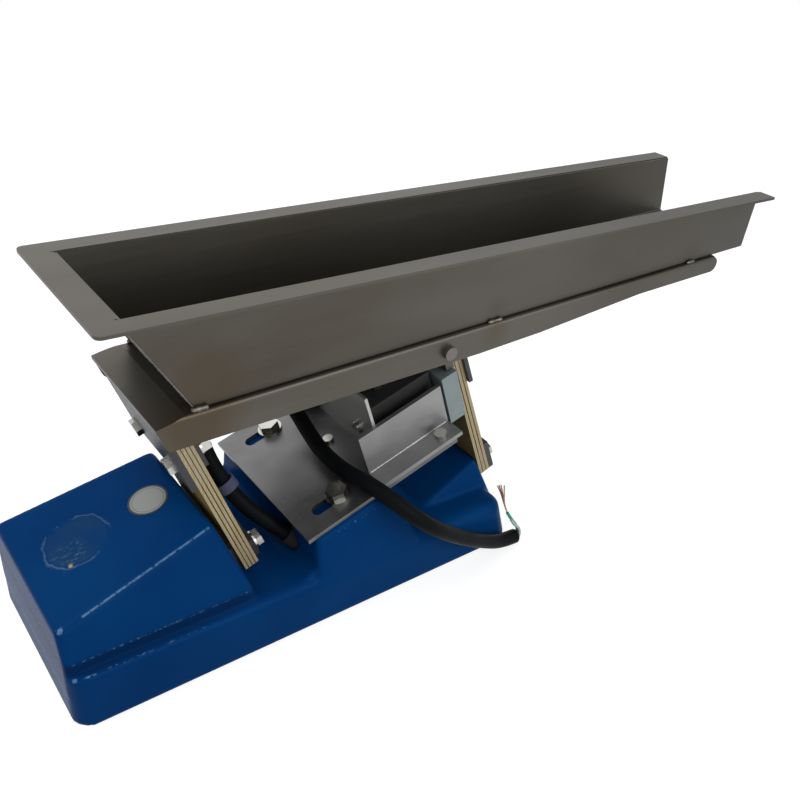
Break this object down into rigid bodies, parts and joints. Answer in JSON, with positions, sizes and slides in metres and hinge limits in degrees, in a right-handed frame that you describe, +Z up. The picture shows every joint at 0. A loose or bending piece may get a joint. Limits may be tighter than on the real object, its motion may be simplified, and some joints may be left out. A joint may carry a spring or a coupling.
{
  "type": "linear vibratory feeder",
  "caption": "Linear vibratory feeder with an open trough on inclined leaf springs above a blue cast base and an electromagnet.",
  "frame": {"origin": "centre of the base casting's underside", "axes": "+X along the feed towards the open end of the trough, +Y across, +Z up"},
  "size_m": [0.5596, 0.1597, 0.2362],
  "materials": {
    "blue_enamel": "gloss",
    "label": "satin",
    "dark_steel": "satin",
    "fastener_steel": "satin",
    "stainless": "brushed",
    "aluminium": "satin",
    "zinc_steel": "satin",
    "spring_leaf": "satin",
    "coil_tape": "satin",
    "black_rubber": "satin",
    "grey_sleeve": "satin",
    "green_wire": "satin",
    "copper": "satin",
    "pale_wire": "satin"
  },
  "bodies": {
    "base": {"base_casting": "blue_enamel", "inspection_label": "label", "rear_leaf_1": "spring_leaf", "rear_leaf_2": "spring_leaf", "rear_leaf_3": "spring_leaf", "rear_leaf_4": "spring_leaf", "front_leaf_1": "spring_leaf", "front_leaf_2": "spring_leaf", "front_leaf_3": "spring_leaf", "rear_seat_spacer": "dark_steel", "rear_lower_shims": "dark_steel", "front_lower_shims": "dark_steel", "rear_lower_clamp": "dark_steel", "front_lower_clamp": "dark_steel", "base_clamp_bolts": "fastener_steel", "base_clamp_washers": "fastener_steel", "magnet_plate": "aluminium", "plate_bolts": "fastener_steel", "plate_washers": "fastener_steel", "magnet_back_plate": "dark_steel", "near_magnet_angle": "aluminium", "far_magnet_angle": "aluminium", "angle_screws": "fastener_steel", "back_screws": "fastener_steel", "small_screw": "fastener_steel", "magnet_core": "dark_steel", "coil": "coil_tape", "lead_grommet": "black_rubber", "power_cord": "black_rubber", "cord_sleeve": "grey_sleeve", "wire_green": "green_wire", "wire_copper": "copper", "wire_pale": "pale_wire"},
    "drive": {"rear_upper_shims": "dark_steel", "front_upper_shims": "dark_steel", "rear_upper_clamp": "dark_steel", "rear_upper_bolts": "fastener_steel", "rear_upper_nuts": "fastener_steel", "front_upper_bolts": "fastener_steel", "carrier_washers": "fastener_steel", "carrier": "stainless", "rear_lip": "dark_steel", "carrier_side_bolts": "fastener_steel", "front_cross_plate": "dark_steel", "front_seat_bar": "stainless", "tray_trough": "stainless", "tray_rear_end": "stainless", "armature": "zinc_steel", "armature_wedge": "dark_steel"}
  },
  "joints": [
    {"name": "drive_stroke", "type": "slide", "parent": "base", "child": "drive", "axis": [0.9367, 0, 0.3502], "range_m": [-0.0008, 0.0008], "stiffness_N_per_m": 100000, "deforming": ["rear_leaf_1", "rear_leaf_2", "rear_leaf_3", "rear_leaf_4", "front_leaf_1", "front_leaf_2", "front_leaf_3"]}
  ]
}
